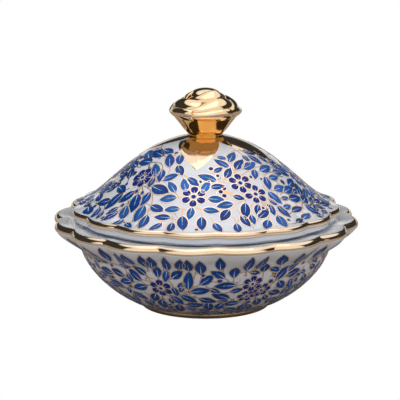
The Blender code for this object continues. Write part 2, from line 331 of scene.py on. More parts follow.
def enamel(name, roughness):
    """Painted enamel under glaze: the stroke's own colour, pooled unevenly like brushwork."""
    material, nodes, links, shader = new_material(name)
    tone = nodes.new("ShaderNodeAttribute")
    tone.attribute_name = "tone"
    pooled = ramp(nodes, links, noise(nodes, links, 420.0, 4.0, 0.6), ((0.30, 0.62), (0.68, 1.25)))
    painted = mixed(nodes, links, "MULTIPLY", tone.outputs["Color"], pooled)
    links.new(painted, shader.inputs["Base Color"])
    uneven_gloss(nodes, links, shader, 200.0, roughness, roughness * 1.6)
    shader.inputs["Specular IOR Level"].default_value = 0.20
    return material


# The bowl's copy of the glaze is greyer and darker than the lid's. This is painted shade for the
# bowl's side, which gets less light from above than the lid's top.
PORCELAIN_LID = porcelain("porcelain_lid_glaze", (0.74, 0.77, 0.84), (0.80, 0.82, 0.87))
PORCELAIN_BOWL_PAINTED_SHADE = porcelain("porcelain_bowl_glaze_painted_shade", (0.70, 0.72, 0.77), (0.77, 0.78, 0.81))
RIM_GOLD = gold("rim_gold", (0.96, 0.75, 0.54), 0.09, 0.25)
FOOT_GOLD = gold("foot_gold", (0.72, 0.50, 0.31), 0.36, 0.25)
# The cup's gold is a deeper orange than the petals' gold. This is a painted reflection, standing
# for the gilt leaf and the lid mirrored in the cup.
CUP_GOLD_PAINTED_REFLECTION = gold("cup_gold_painted_reflection", (0.88, 0.53, 0.18), 0.05, 0.10)
KNOB_GOLD = gold("knob_gold", (0.96, 0.73, 0.47), 0.05, 0.10)
BLUE_ENAMEL = enamel("blue_enamel", 0.16)
WHITE_ENAMEL = enamel("white_enamel", 0.14)
SCROLL_ENAMEL = enamel("scroll_enamel", 0.2)
LINE_GOLD = gold("line_gold", (0.97, 0.78, 0.63), 0.26, 0.3)
STEM_GOLD = gold("stem_gold", (0.78, 0.48, 0.27), 0.28, 0.3)


# ---- bowl and lid

LIP_STEPS = 28


def flange_line():
    """Underside of the bowl's flange, from its edge inwards."""
    return bezier(FLANGE_CURVE, 40)


def wall_line():
    """Outside of the bowl's wall, from the flange down."""
    return bezier(WALL_CURVE, 70)


def dome_line():
    """Outside of the lid's dome, from its top outwards."""
    return bezier(DOME_CURVE, 130)


def bowl_section():
    """Section of the bowl, from the middle of its floor over the lip to the middle of its base."""
    wall = wall_line()
    inner = offset(wall, -BOWL_WALL)[::-1]
    within = (inner[:, 0] < NECK_RADIUS) & (inner[:, 1] > FLOOR_HEIGHT + 0.2 * MM)
    inner = inner[within][::3]
    floor = path((0.0, FLOOR_HEIGHT), (inner[0][0] - FLOOR_CORNER, FLOOR_HEIGHT))
    neck = path((NECK_RADIUS, NECK_BOTTOM), (NECK_RADIUS, LEDGE_HEIGHT), (LEDGE_EDGE, LEDGE_HEIGHT))
    lip = arc(LIP_CENTRE, LIP - FILM, *LIP_ARC, LIP_STEPS)
    base = path((FOOT_RADIUS - FOOT_RING_INSIDE, BASE_RECESS), (0.0, BASE_RECESS))
    foot = np.vstack([run_from(FOOT_RADIUS, FOOT_RING), base])
    inside = fillet(np.vstack([floor, inner, neck, run_from(0.0, FLANGE_TOP)]), 2.0 * MM)
    outside = np.vstack([lip, flange_line(), wall[1:]])
    return np.vstack([inside, outside, fillet(foot, 0.7 * MM)])


def make_bowl():
    section = with_share(bowl_section(), bowl_share)
    # The bowl takes the darker copy of the glaze, painted shade.
    body = turned_object("bowl_porcelain", section, BOWL_LOBE_DEPTH, PORCELAIN_BOWL_PAINTED_SHADE)
    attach(body, "bowl")
    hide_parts("bowl_body")


def lid_section():
    """Section of the lid, from the top of its dome over the lip and back along its underside."""
    dome = dome_line()
    seat = LEDGE_HEIGHT + SEAT_GAP
    inner = offset(dome, -LID_WALL)[::-1]
    inner = inner[inner[:, 0] < LID_INSIDE_EDGE]
    top = with_share(dome, lid_share)
    lip = with_share(arc(LID_LIP_CENTRE, LID_LIP - FILM, *LID_LIP_ARC, LIP_STEPS), 1.0)
    rest_inner, rest_outer = REST_FOOT
    ring_inner, ring_outer = RING_WALL
    ring = path(
        (rest_outer, seat), (rest_inner, seat), (ring_outer, seat + MM), (ring_outer, RING_BOTTOM),
        (ring_inner, RING_BOTTOM), (ring_inner, seat + RING_INSIDE_HEIGHT), inner[0])
    under = fillet(np.vstack([run_from(0.0, SKIRT), ring]), 0.8 * MM)
    shares = np.where(under[:, 0] > SKIRT_LOBES_FROM, SKIRT_LOBE_SHARE, 0.0)
    under = np.column_stack([under, shares])
    end = path((0.0, inner[-1][1]))
    return np.vstack([top, lip, under, with_share(inner[1:], 0.0), with_share(end, 0.0)])


def make_lid():
    shell = turned_object("lid_porcelain", lid_section(), LID_LOBE_DEPTH, PORCELAIN_LID)
    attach(shell, "lid")
    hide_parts("lid_shell")


def gilt_band(name, body, node, centre, radius, span, depth, seed):
    """A brushed band of gold film round a lip; its two edges waver a little, as a brush's do."""
    first, last = span
    rng = Random(seed)
    azimuths = np.linspace(0.0, 2.0 * pi, AROUND, endpoint=False)
    waver = np.zeros((2, AROUND))
    for edge in (0, 1):
        for turns in BAND_WAVES:
            swing = rng.uniform(0.4, 1.2)
            waver[edge] += swing * np.sin(turns * azimuths + rng.uniform(0.0, 2.0 * pi))
    share = np.linspace(0.0, 1.0, BAND_ROWS)[:, None]
    angle = np.radians((last + waver[0]) * (1 - share) + (first + waver[1]) * share)
    swell = np.sin(pi * share) ** 0.25 * FILM * 1.6
    drop = lobe_drop(azimuths)[None, :] * depth
    sides = []
    for level in (radius - FILM + swell, radius - 2.5 * FILM):
        r = centre[0] + level * np.cos(angle) - drop
        z = centre[1] + level * np.sin(angle)
        sides.append(around(r, azimuths, z))
    grid = np.vstack([sides[0], sides[1][::-1], sides[0][:1]])
    band = new_object(name, grid, grid_faces(len(grid), AROUND, True)[:, ::-1], RIM_GOLD, weld=WELD)
    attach(band, body)
    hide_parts(node)


def make_gilt_bands():
    gilt_band("bowl_rim_gold", "bowl", "bowl_rim_gilding",
              LIP_CENTRE, LIP, BOWL_GILT_ARC, BOWL_LOBE_DEPTH, 3)
    gilt_band("lid_rim_gold", "lid", "lid_rim_gilding",
              LID_LIP_CENTRE, LID_LIP, LID_GILT_ARC, LID_LOBE_DEPTH, 5)
    outer = run_from(FOOT_RADIUS, FOOT_GILT)
    ring = np.vstack([outer, offset(outer, -FOOT_GILT_DEPTH)[::-1]])
    band = turned_object("foot_gold", with_share(ring, 0.0), 0.0, FOOT_GOLD, closed=True)
    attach(band, "bowl")
    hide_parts("foot_gilding")


# ---- painted decoration

class Surface:
    """A painted side of the dish: finds the point at an azimuth and a distance down its outline."""

    def __init__(self, line, share, depth):
        step = np.gradient(line, axis=0)
        step /= np.linalg.norm(step, axis=1)[:, None]
        self.along = np.concatenate([[0.0], np.cumsum(np.hypot(*np.diff(line, axis=0).T))])
        self.table = np.column_stack([line, -step[:, 1], step[:, 0], share(line[:, 0])])
        self.depth = depth

    def radius(self, along):
        return np.maximum(np.interp(along, self.along, self.table[:, 0]), MM)

    def at(self, azimuth, along, lift):
        """Points at these azimuths and distances, lifted off the glaze."""
        azimuth, along, lift = np.broadcast_arrays(azimuth, along, lift)
        r, z, out, up, share = (np.interp(along, self.along, self.table[:, k]) for k in range(5))
        r = r + lift * out - self.depth * share * lobe_drop(azimuth)
        return around(r, azimuth, z + lift * up)

    def move(self, spot, heading, across, forward):
        """The spot reached by a step across and forward; a heading of 0 runs up the outline."""
        x = forward * sin(heading) + across * cos(heading)
        along = spot[1] - (forward * cos(heading) - across * sin(heading))
        return spot[0] + x / self.radius(along), along

    def place(self, spot, heading, across, forward, lift):
        """Points across and forward of a spot, lifted off the glaze."""
        return self.at(*self.move(spot, heading, across, forward), lift)


class Paint:
    """Gathers the strokes of one colour on one side into one mesh."""

    def __init__(self):
        self.points, self.faces, self.tones = [], [], []
        self.count = 0

    def add(self, grid, tones, wrap=False):
        rows, columns = grid.shape[:2]
        self.points.append(grid.reshape(-1, 3))
        self.tones.append(np.broadcast_to(tones, (rows, columns, 3)).reshape(-1, 3))
        self.faces.append(grid_faces(rows, columns, wrap) + self.count)
        self.count += rows * columns

    def build(self, name, material, body, slot):
        obj = new_object(name, np.vstack(self.points), np.vstack(self.faces), material)
        tones = obj.data.attributes.new("tone", "FLOAT_COLOR", "POINT")
        rgba = np.column_stack([np.vstack(self.tones), np.ones(self.count)])
        tones.data.foreach_set("color", rgba.astype(np.float32).ravel())
        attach(obj, body)


# Tones of the enamels. The gold lines have none of their own, so they are given LINE.
DEEP = np.array((0.002, 0.021, 0.165))
BLUE = np.array((0.002, 0.078, 0.370))
PALE = np.array((0.028, 0.190, 0.600))
FLOWER_BLUE = np.array((0.005, 0.017, 0.180))
BERRY_BLUE = np.array((0.008, 0.070, 0.330))
WHITE = np.array((0.80, 0.82, 0.86))
GREY = np.array((0.42, 0.40, 0.48))
LINE = np.array((1.0, 1.0, 1.0))

# Steps along a leaf or petal, closer together at its ends, and the rise and fall of its width.
LEAF_STEPS = np.array((0.0, 0.05, 0.14, 0.27, 0.41, 0.56, 0.70, 0.83, 0.93, 1.0))
PETAL_STEPS = np.array((0.0, 0.10, 0.25, 0.45, 0.65, 0.82, 0.94, 1.0))
LEAF_SHAPE = (0.74, 0.92)
PETAL_SHAPE = (0.55, 0.40)
LEAF_SCALE = 1.28
LEAF_OVERLAP = 1.3 * MM
LEAF_STALK = 5.5 * MM
LEAF_VEIN = 0.62
PETAL_VEIN = 0.45

# Widths of the strokes.
STROKE = 0.60 * MM
STEM = 0.70 * MM
VEIN = 0.50 * MM
BUD_LINE = 0.40 * MM
SCROLL = 0.60 * MM

# Heights of the strokes over the glaze, from the lowest, and how far they are domed.
SCROLL_LIFT = 0.02 * MM
BERRY_LIFT = 0.06 * MM
STEM_LIFT = 0.07 * MM
BLADE_LIFT = 0.12 * MM
RING_LIFT = 0.13 * MM
OUTLINE_LIFT = 0.16 * MM
VEIN_LIFT = 0.22 * MM
EYE_LIFT = 0.24 * MM
DOME = 0.07 * MM
STEM_DOME = 0.04 * MM
DISC_DOME = 0.08 * MM

# Discs that stand for a leaf's ground: places along it and radii as shares of its width.
GROUND_STEPS = np.array((0.18, 0.5, 0.82))
GROUND_RADII = np.array((0.26, 0.42, 0.26))

# Random fill: leaves tried for each range of sizes, their stalks, berries, and scrolls.
FILL_TRIES = 900
FILL_STALK = 9.0 * MM
BERRY_RADII = (1.9, 1.5, 0.6)
SCROLLS = 40


def blade_width(t, shape):
    """Width of a leaf or petal along its length, 1 at the widest."""
    rise, fall = shape
    peak = rise / (rise + fall)
    return t ** rise * (1.0 - t) ** fall / (peak ** rise * (1.0 - peak) ** fall)


class Painter:
    """Paints leaves, flowers, berries and stems on one side, and keeps track of the free ground."""

    def __init__(self, surface, ceiling, floor, seed):
        self.surface = surface
        self.ceiling = ceiling
        self.floor = floor
        self.rng = Random(seed)
        self.fill, self.line, self.vine = Paint(), Paint(), Paint()
        self.light, self.scroll = Paint(), Paint()
        self.taken = np.zeros((0, 4))

    # Free ground, kept as a list of discs.

    def discs(self, spot, heading, length, width, bend=0.0):
        t = GROUND_STEPS
        points = self.surface.place(spot, heading, bend * length * t * t, length * t, 0.0)
        return np.column_stack([points, GROUND_RADII * width])

    def is_free(self, discs, gap=0.0):
        """Whether discs keep this gap from all the ground that is taken."""
        if not len(self.taken):
            return True
        apart = np.linalg.norm(discs[:, None, :3] - self.taken[None, :, :3], axis=2)
        return bool((apart > discs[:, 3][:, None] + self.taken[:, 3][None, :] + gap).all())

    def take(self, discs):
        self.taken = np.vstack([self.taken, discs])

    def inside(self, spot, reach=0.0):
        """Whether a spot lies on the painted belt, at least this far from its edges."""
        return self.ceiling(spot[0]) + reach < spot[1] < self.floor - reach

    def sway(self, least, most):
        """A bend to either side."""
        return self.rng.choice((-1.0, 1.0)) * self.rng.uniform(least, most)

    # Single strokes.

    def stroke(self, paint, spot, heading, across, forward, width, lift, tone,
               taper=0.0, dome=DOME):
        """A ribbon along a path, a little domed; taper thins it towards its end."""
        run = np.stack([np.gradient(across), np.gradient(forward)], 1)
        run /= np.maximum(np.linalg.norm(run, axis=1), 1e-12)[:, None]
        half = 0.5 * width * (1.0 - taper * np.linspace(0.0, 1.0, len(forward)))
        side = np.array((-1.0, 0.0, 1.0))
        x = across[:, None] + run[:, 1][:, None] * half[:, None] * side
        y = forward[:, None] - run[:, 0][:, None] * half[:, None] * side
        rise = lift + dome * (1.0 - np.abs(side))
        paint.add(self.surface.place(spot, heading, x, y, rise), tone)

    def blade(self, spot, heading, length, width, bend, steps, shape, inner, outer, vein):
        """One leaf or petal: a filled shape with a gold outline and a white vein."""
        t = steps[:, None]
        side = np.linspace(-1.0, 1.0, 5)[None, :]
        half = 0.5 * width * blade_width(steps, shape)[:, None]
        middle = bend * length * t * t
        rise = DOME * (1.0 - side * side) + BLADE_LIFT
        grid = self.surface.place(spot, heading, middle + half * side, length * t, rise)
        edge = np.clip(0.55 * np.abs(side) ** 2 + 0.55 * t ** 2, 0.0, 1.0)[..., None]
        self.fill.add(grid, inner * (1.0 - edge) + outer * edge)
        for turn_side in (-1.0, 1.0):
            across = bend * length * steps ** 2 + turn_side * (half[:, 0] + 0.15 * MM)
            self.stroke(self.line, spot, heading, across, length * steps,
                        STROKE, OUTLINE_LIFT, LINE)
        ahead = np.linspace(0.06, vein, 5) * length
        across = bend * ahead * ahead / length
        self.stroke(self.light, spot, heading, across, ahead, VEIN, VEIN_LIFT, WHITE, taper=0.8)

    def leaf(self, spot, heading, length, tint=0.0, width=None,
             checked=True, stalk=LEAF_STALK, gap=0.0, border=True):
        """A leaf from its base; returns whether there was room for it."""
        width = width or length * self.rng.uniform(0.48, 0.55)
        bend = self.rng.uniform(-0.10, 0.10)
        discs = self.discs(spot, heading, length, width, bend)
        tip = self.surface.move(spot, heading, 0.0, length)
        if border and not (self.inside(tip) and self.inside(spot)):
            return False
        if checked and not self.is_free(discs, gap):
            return False
        self.take(discs)
        shade = self.rng.uniform(0.75, 1.2)
        inner = (BLUE * (1.0 - tint) + PALE * tint) * shade
        outer = (DEEP * (1.0 - tint) + (0.6 * PALE + 0.4 * BLUE) * tint) * shade
        self.blade(spot, heading, length, width, bend, LEAF_STEPS, LEAF_SHAPE,
                   inner, outer, LEAF_VEIN)
        if stalk:
            self.stem(spot, heading + pi, stalk, self.sway(0.3, 1.1))
        return True

    def leaf_at(self, azimuth, along, heading, length, tint=0.0, width=None, checked=True):
        """A leaf given by its middle, in degrees and millimetres."""
        turned = radians(heading)
        middle = (radians(azimuth), along * MM)
        base = self.surface.move(middle, turned, 0.0, -0.5 * length * MM)
        wide = width * LEAF_SCALE * MM if width else None
        self.leaf(base, turned, length * LEAF_SCALE * MM, tint, wide, checked,
                  gap=-LEAF_OVERLAP, border=False)

    def disc(self, paint, spot, radius, tone, lift):
        angle = np.linspace(0.0, 2.0 * pi, 12, endpoint=False)
        rings = np.array((0.0, 0.6, 1.0))[:, None] * radius
        rise = lift + DISC_DOME * (1.0 - (rings / radius) ** 2)
        grid = self.surface.place(spot, 0.0, rings * np.cos(angle), rings * np.sin(angle), rise)
        paint.add(grid, tone, wrap=True)

    def ring(self, spot, radius, width, oval=1.0):
        """A gold ring; oval widens it across."""
        angle = np.linspace(0.0, 2.0 * pi, 17)
        self.stroke(self.line, spot, 0.0, radius * oval * np.cos(angle), radius * np.sin(angle),
                    width, RING_LIFT, LINE)

    def berry(self, spot, radius):
        """A blue dab in a gold ring, if there is room for it."""
        discs = np.array([[*self.surface.at(*spot, 0.0), radius]])
        if self.is_free(discs) and self.inside(spot, radius):
            self.take(discs)
            tone = BERRY_BLUE * self.rng.uniform(0.6, 1.1)
            self.disc(self.fill, spot, radius, tone, BERRY_LIFT)
            self.ring(spot, radius, STROKE)

    def stem(self, spot, heading, length, bend):
        """A curved gold stroke; returns the spot where it ends."""
        count = max(int(length / (1.6 * MM)), 3)
        t = np.linspace(0.0, 1.0, count)
        angle = bend * t
        across = np.concatenate([[0.0], np.cumsum(np.sin(angle[:-1]))]) * length / (count - 1)
        forward = np.concatenate([[0.0], np.cumsum(np.cos(angle[:-1]))]) * length / (count - 1)
        self.stroke(self.vine, spot, heading, across, forward,
                    STEM, STEM_LIFT, LINE, dome=STEM_DOME)
        return self.surface.move(spot, heading, across[-1], forward[-1])

    def tendril(self, spot, heading, size, hand):
        """A faint scroll behind the leaves, curling to the left or right hand."""
        angle = np.linspace(0.0, 4.4, 16)
        radius = size * (1.0 - angle / 6.0)
        across = hand * (size - radius * np.cos(angle))
        self.stroke(self.scroll, spot, heading, across, radius * np.sin(angle),
                    SCROLL, SCROLL_LIFT, GREY, taper=0.5)

    def flower(self, azimuth, along, size, petals, turned):
        """Dark petals, where there is room, round a white heart with a blue eye; a place in
        degrees and millimetres."""
        spot = (radians(azimuth), along * MM)
        size *= MM
        for k in range(petals):
            heading = 2.0 * pi * k / petals + radians(turned)
            base = self.surface.move(spot, heading, 0.0, 0.30 * size)
            length = 0.74 * size * self.rng.uniform(0.94, 1.05)
            discs = self.discs(base, heading, length, 0.62 * size)
            if k and not self.is_free(discs[1:2], -0.35 * size):
                continue
            self.blade(base, heading, length, 0.64 * size, 0.0, PETAL_STEPS, PETAL_SHAPE,
                       FLOWER_BLUE * 1.5, FLOWER_BLUE, PETAL_VEIN)
        self.disc(self.light, spot, 0.28 * size, WHITE, BLADE_LIFT)
        self.disc(self.fill, spot, 0.18 * size, FLOWER_BLUE * 1.4, EYE_LIFT)
        self.ring(spot, 0.29 * size, STROKE, oval=1.1)
        self.take(np.array([[*self.surface.at(*spot, 0.0), size]]))

    def sprig(self, azimuth, along, heading, size):
        """Three dark buds on a forked stalk, in degrees and millimetres."""
        spot = (radians(azimuth), along * MM)
        facing = radians(heading)
        fork = self.surface.move(spot, facing, 0.0, 0.3 * size * MM)
        for swing, reach in ((-0.75, 0.8), (0.0, 1.0), (0.75, 0.8)):
            bud = self.stem(fork, facing + swing, reach * 0.6 * size * MM, 0.0)
            self.disc(self.fill, bud, 0.19 * size * MM, FLOWER_BLUE, BLADE_LIFT)
            self.ring(bud, 0.19 * size * MM, BUD_LINE)
        self.stem(spot, facing, 0.35 * size * MM, 0.0)
        self.take(self.discs(spot, facing, size * MM, 0.7 * size * MM))

    # Groups, from the tables and at random.

    def blossoms(self, base, flowers, sprigs):
        """The flowers and sprigs of two tables, turned by a base azimuth in degrees."""
        for azimuth, along, size, petals, turned in flowers:
            self.flower(base + azimuth, along, size, petals, turned)
        for azimuth, along, heading, size in sprigs:
            self.sprig(base + azimuth, along, heading, size)

    def stems(self, base, rows):
        """The stems of a table, turned by a base azimuth in degrees."""
        for azimuth, along, heading, length, bend in rows:
            spot = (radians(base + azimuth), along * MM)
            self.stem(spot, radians(heading), length * MM, radians(bend))

    def fill_ground(self, sizes, tints, flow):
        """Leaves, then berries and dots, wherever there is room left; sizes in millimetres."""
        for small, large in sizes:
            for _ in range(FILL_TRIES):
                along = self.rng.uniform(0.0, self.floor)
                spot = (self.rng.uniform(-pi, pi), along)
                if not self.inside(spot):
                    continue
                length = self.rng.uniform(small, large) * MM
                heading = flow(*spot) + self.rng.uniform(-0.7, 0.7)
                if self.leaf(spot, heading, length, self.rng.choice(tints), stalk=0.0):
                    self.stem(spot, heading + pi, FILL_STALK, self.sway(0.5, 1.3))
        for radius in BERRY_RADII:
            for _ in range(FILL_TRIES // 3):
                spot = (self.rng.uniform(-pi, pi), self.rng.uniform(0.0, self.floor))
                self.berry(spot, radius * MM)

    def scrolls(self, belt, sizes, margin=None):
        """Faint scrolls on a belt; a margin keeps them off the edges of the pattern."""
        for _ in range(SCROLLS):
            spot = (self.rng.uniform(-pi, pi), self.rng.uniform(*belt) * MM)
            if margin is None or self.inside(spot, margin):
                heading = self.rng.uniform(0.0, 2.0 * pi)
                size = self.rng.uniform(*sizes) * MM
                self.tendril(spot, heading, size, self.rng.choice((-1.0, 1.0)))

    def build(self, label, body, slot):
        for paint, name, material in (
                (self.fill, "_blue", BLUE_ENAMEL), (self.line, "_gold_lines", LINE_GOLD),
                (self.vine, "_gold_stems", STEM_GOLD), (self.light, "_white_veins", WHITE_ENAMEL),
                (self.scroll, "_scrolls", SCROLL_ENAMEL)):
            paint.build(label + name, material, body, slot)


# Front of the lid; the back repeats it. Places are degrees round and millimetres down the dome.
# Flowers: place, size, petals, turn. Sprigs: place, heading, size. Leaves: middle, heading, length.
# Stems: start, heading, length, bend. Berries: place, radius.
LID_PATTERN_END = 102.2 * MM
LID_FLOWERS = (
    (0, 71, 8.0, 6, 0), (31, 61, 7.8, 6, 0), (38, 71, 7.6, 6, 20), (-42, 60, 7.8, 7, 0),
    (90, 70, 7.4, 6, 12))
LID_SPRIGS = ((24, 68.5, -80, 9), (39, 77, 165, 8))
LID_RING = (
    (-6.5, 63, -18, 9), (6.5, 64, 24, 9), (-14, 65, -38, 9), (10, 56, -62, 10.5),
    (-14, 73, -98, 9.5), (12, 73, 98, 9), (-10, 81.5, -96, 9), (9, 82, 104, 9),
    (-0.5, 83.5, 183, 8.5))
LID_LEAVES = (
    (-50, 38, -84, 12), (-54, 47, -98, 10.5), (-27.5, 43, -28, 11.5), (-34, 53, -34, 10.5),
    (-20.5, 57, 56, 9.5), (-24, 67, 108, 12), (-20, 82, 112, 9.5), (-27, 87, 178, 12),
    (-22, 93.5, 172, 11), (-34, 79, 158, 12.5), (-42, 76, 206, 10), (-37, 89, 166, 11),
    (-50, 81, 196, 13), (-57, 86, 238, 10), (-42, 94, 200, 10), (-35, 100, 190, 9),
    (-55, 96, 140, 10), (-62, 97, 120, 10), (-13.5, 89, -84, 9), (-15, 98, 205, 9),
    (-8.5, 97.5, 178, 9), (-4, 92, 172, 11), (5, 92, 182, 10.5), (12, 97, 158, 9),
    (23.5, 44, -42, 9.5), (33, 38.5, 34, 10), (36, 46, 42, 10), (24.5, 54, -36, 9.5),
    (45, 48, 74, 11), (52, 44, 100, 9), (59, 53, 84, 10.5), (18.5, 77.5, -94, 9.5),
    (17, 85, 222, 9.5), (28, 82, 198, 11), (25.5, 91, 166, 9.5), (21, 97.5, 180, 9),
    (36, 88, 50, 9.5), (36, 97, 208, 10), (43.5, 95, 184, 10.5), (48.5, 87, 168, 10),
    (49, 75, 160, 10), (52, 63, 200, 9.5), (57, 70, 86, 9), (60, 61, 96, 8), (64, 73, 84, 10),
    (63, 80, 96, 10), (58, 89, 80, 9), (59, 97, 60, 9), (68, 92, 170, 10), (-64, 42, -70, 11),
    (-66, 53, -88, 10), (-58, 60, -40, 9))
LID_STEMS = (
    (-44, 62, 118, 44, 62), (-36, 66, 100, 30, 96), (-1, 80, 180, 18, 14), (-10, 82, 150, 17, -20),
    (31, 57, -4, 19, 16), (32, 56, 60, 24, 30), (30, 76, 196, 24, -20), (40, 76, 150, 24, 30),
    (-41, 57, -20, 18, -50), (9, 60, 120, 18, 40), (20, 98, 20, 14, 20), (-24, 100, -8, 18, -20),
    (60, 97, 10, 34, -20), (52, 60, 80, 20, 40))
LID_BERRIES = (
    (45, 68, 2.2), (52, 54, 2.0), (66, 66, 2.0), (49, 60, 1.4), (-60, 70, 1.8), (-52, 68, 1.2))

# Front of the bowl, measured down from the edge of its flange; its leaves have a width as well.
BOWL_PATTERN_START = 19.0 * MM
BOWL_PATTERN_END = 76.0 * MM
BOWL_FLOWERS = (
    (-14.5, 36, 7.4, 6, 0), (29, 32, 6.6, 6, 0), (35, 39, 6.4, 6, 20), (28, 44, 6.0, 6, 35),
    (84, 36, 7.0, 6, 10))
BOWL_SPRIGS = ((37, 28, 60, 5),)
LOW_LEAVES_FROM = 21.0
LOW_LEAF_GROWTH = 1.18
LEAF_WIDENING = 1.2
HANGING_LEAVES = 48
BOWL_LEAVES = (
    (-37, 10, 14, 15, 4.6), (-25, 9, -8, 12, 6), (-18, 10, 4, 14, 4.4), (-9, 11, 4, 15, 4.2),
    (-3, 10, 18, 13, 4.6), (5, 14, 0, 16, 4.8), (13, 10, -2, 14, 4.4), (24, 11, -6, 16, 4.4),
    (19.5, 20.5, 0, 9.5, 4.6), (33, 18, -4, 9, 4.6), (39, 10, -16, 13, 5), (48, 12, -20, 15, 4.8),
    (-14.5, 21, 0, 10, 4.0), (-22.5, 22, -48, 7.5, 4), (-6, 23, 52, 7.5, 4.2),
    (-26, 27, -44, 8, 4.2), (-1, 28.5, 0, 10.5, 4.4), (7, 27, 52, 8, 4), (13, 22, -50, 8, 4.2),
    (25, 25.5, -16, 7, 4), (43, 26, 34, 9, 4.4), (50, 27, 72, 8, 4), (-44, 28, -84, 8.5, 4.2),
    (-36, 27, -72, 7.5, 4), (-33, 33, -98, 7.5, 4), (17, 31, -88, 9.5, 4.2),
    (-25, 36, -112, 8.5, 4.2), (-8, 31, 58, 7, 3.8), (3.5, 36, 78, 9, 4.4), (-41, 38, -64, 9, 4.4),
    (45, 35, 142, 7.5, 4), (52, 36, 152, 8, 4), (-20, 45, 206, 7.5, 4.2), (-8.5, 46, 156, 8, 4.2),
    (-2.5, 44, 136, 8, 4.4), (7, 46, 118, 8, 4.4), (15.5, 42, -60, 9, 4.4), (-18, 53, 196, 9, 4.6),
    (0, 53, 92, 8.5, 4.6), (8.5, 54, 182, 8.5, 4.4), (15, 54, 186, 7.5, 4.2), (22, 51, -96, 8, 4.4),
    (44, 43, 112, 8, 4.2), (-31, 46, 122, 8, 4.4), (-8.5, 58, 182, 9, 4.4), (37, 52, 150, 8, 4.2),
    (30, 58, 182, 9, 4.4))
BOWL_STEMS = (
    (-18, 32, -30, 16, -24), (-18, 32, -70, 26, -30), (-18, 34, 150, 22, -40),
    (-12, 30, 10, 18, -10), (-8, 38, 80, 20, 30), (0, 40, 8, 22, 10), (12, 34, 20, 20, -20),
    (22, 34, -60, 20, -30), (28, 28, 4, 16, -20), (40, 34, 50, 22, -20), (38, 44, 130, 18, 40),
    (22, 46, 220, 18, 30), (5, 48, 170, 14, 20), (-4, 42, 160, 18, 10))


def lid_ceiling(azimuth):
    """Distance down the dome where the pattern starts: lower under each gilt leaf."""
    away = (degrees(azimuth) + 45.0) % 90.0 - 45.0
    return (32.0 + 27.0 * np.exp(-(away / 12.0) ** 2)) * MM


def bowl_ceiling(azimuth):
    """Distance down the bowl where the pattern starts, the same at any azimuth."""
    return BOWL_PATTERN_START


def lid_flow(azimuth, along):
    """Heading that random leaves keep near."""
    return 2.2 + sin(5 * azimuth + 60 * along)


def bowl_flow(azimuth, along):
    """Heading that random leaves keep near."""
    return 2.6 + sin(4 * azimuth + 70 * along)


def decorate_lid():
    surface = Surface(dome_line(), lid_share, LID_LOBE_DEPTH)
    painter = Painter(surface, lid_ceiling, LID_PATTERN_END, 11)
    for base in (0.0, 180.0):
        painter.blossoms(base, LID_FLOWERS, LID_SPRIGS)
        for azimuth, along, heading, length in LID_RING:
            painter.leaf_at(base + azimuth, along, heading, length, 0.85, checked=False)
        for azimuth, along, heading, length in LID_LEAVES:
            tint = painter.rng.choice((0.0, 0.0, 0.15, 0.35))
            painter.leaf_at(base + azimuth, along, heading, length, tint)
        painter.stems(base, LID_STEMS)
        for azimuth, along, radius in LID_BERRIES:
            painter.berry((radians(base + azimuth), along * MM), radius * MM)
        for step in range(6):
            angle = step * pi / 3
            painter.leaf_at(base + 90.0 + 9.0 * cos(angle), 70.0 + 13.0 * sin(angle),
                            90.0 + degrees(angle), 9.0, 0.5)
    painter.fill_ground(((10.5, 12.5), (9.0, 10.5), (7.5, 9.0)), (0.0, 0.1, 0.3), lid_flow)
    painter.scrolls((48.0, 96.0), (3.0, 5.0), margin=4.0 * MM)
    painter.build("lid", "lid", "porcelain_lid")


def decorate_bowl():
    line = np.vstack([flange_line(), wall_line()[1:]])
    surface = Surface(line, bowl_share, BOWL_LOBE_DEPTH)
    painter = Painter(surface, bowl_ceiling, BOWL_PATTERN_END, 12)
    for base in (0.0, 180.0):
        painter.blossoms(base, BOWL_FLOWERS, BOWL_SPRIGS)
        for azimuth, along, heading, length, width in BOWL_LEAVES:
            growth = LOW_LEAF_GROWTH if along > LOW_LEAVES_FROM else 1.0
            painter.leaf_at(base + azimuth, along + 1.0, heading, length * growth,
                            0.0, width * LEAF_WIDENING)
        painter.stems(base, BOWL_STEMS)
    for k in range(HANGING_LEAVES):
        heading = painter.rng.uniform(-18.0, 18.0)
        painter.leaf_at(360.0 / HANGING_LEAVES * k, 12.0, heading, 14.0, 0.0, 5.4)
    painter.fill_ground(((9.5, 11.0), (8.0, 9.5), (6.5, 8.0)), (0.0, 0.0, 0.2), bowl_flow)
    painter.scrolls((22.0, 66.0), (2.5, 4.0))
    painter.build("bowl", "bowl", "porcelain_bowl")


# ---- gilt leaves and rose knob

# Degrees round, and by how many millimetres the broad part is shifted to one side.
LEAF_NODES = {
    "front": (0.0, -2.6), "right": (79.0, 0.0), "back": (172.0, 0.0), "left": (262.0, 0.0)}
LEAF_EDGE = ((9.0, 8.0), (15.8, 13.5), (16.2, 30.5), (0.0, 46.0))
LEAF_LIFT = 0.22 * MM


